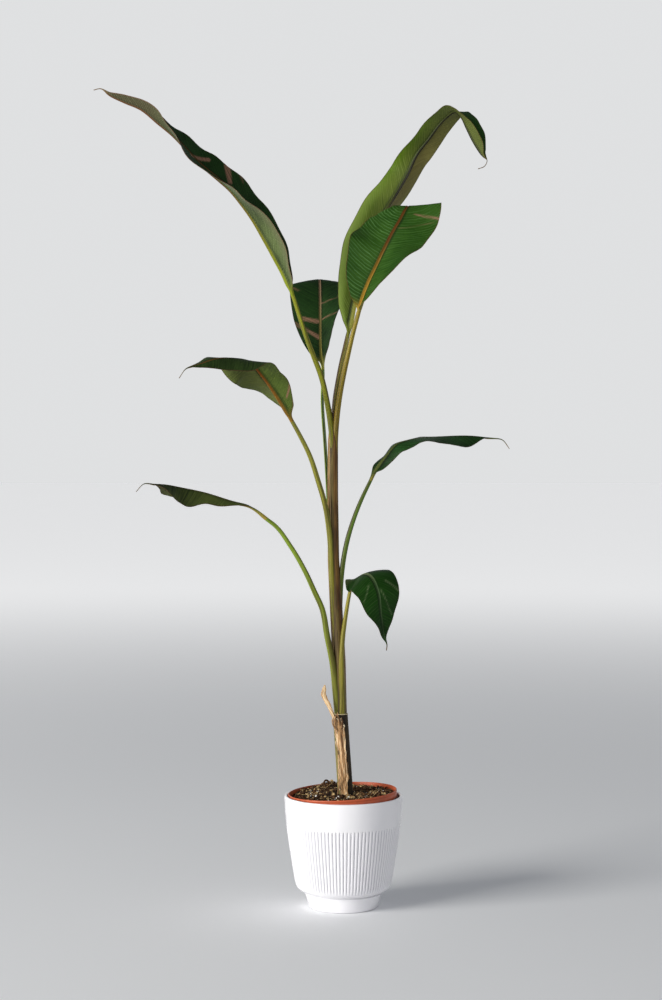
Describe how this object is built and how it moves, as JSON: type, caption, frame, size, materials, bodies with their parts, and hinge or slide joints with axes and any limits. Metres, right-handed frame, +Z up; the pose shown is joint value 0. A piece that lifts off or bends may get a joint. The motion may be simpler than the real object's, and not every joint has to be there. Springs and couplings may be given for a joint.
{
  "type": "potted banana plant",
  "caption": "Potted banana plant: arching leaves on a slim stem of wrapped leaf sheaths, in a plastic nursery pot that stands inside a ribbed ceramic cachepot with a narrower foot.",
  "frame": {"origin": "centre of the underside of the cachepot's foot", "axes": "+Z up, the plant's longest extent; -Y is the front, the side that the picture shows; +X to the right seen from the front"},
  "size_m": [0.6423, 0.3821, 1.2627],
  "materials": {
    "glazed_ceramic": "white gloss glaze",
    "terracotta_plastic": "satin, moulded",
    "potting_soil": "loose, dark, with pale grains",
    "stem_sheath": "smooth, fibrous along its length",
    "leaf_stalk": "smooth",
    "leaf_blade": "waxy",
    "dry_leaf": "dry and papery"
  },
  "bodies": {
    "root": {"cachepot": "glazed_ceramic", "nursery_pot": "terracotta_plastic", "soil": "potting_soil", "pseudostem": "stem_sheath", "dry_sheath": "dry_leaf", "low_left_stalk": "leaf_stalk", "low_left_blade": "leaf_blade", "low_right_stalk": "leaf_stalk", "low_right_blade": "leaf_blade", "mid_left_stalk": "leaf_stalk", "mid_left_blade": "leaf_blade", "mid_right_stalk": "leaf_stalk", "mid_right_blade": "leaf_blade", "back_stalk": "leaf_stalk", "back_blade": "leaf_blade", "top_left_stalk": "leaf_stalk", "top_left_blade": "leaf_blade", "top_right_stalk": "leaf_stalk", "top_right_blade": "leaf_blade", "front_right_stalk": "leaf_stalk", "front_right_blade": "leaf_blade"}
  },
  "joints": []
}
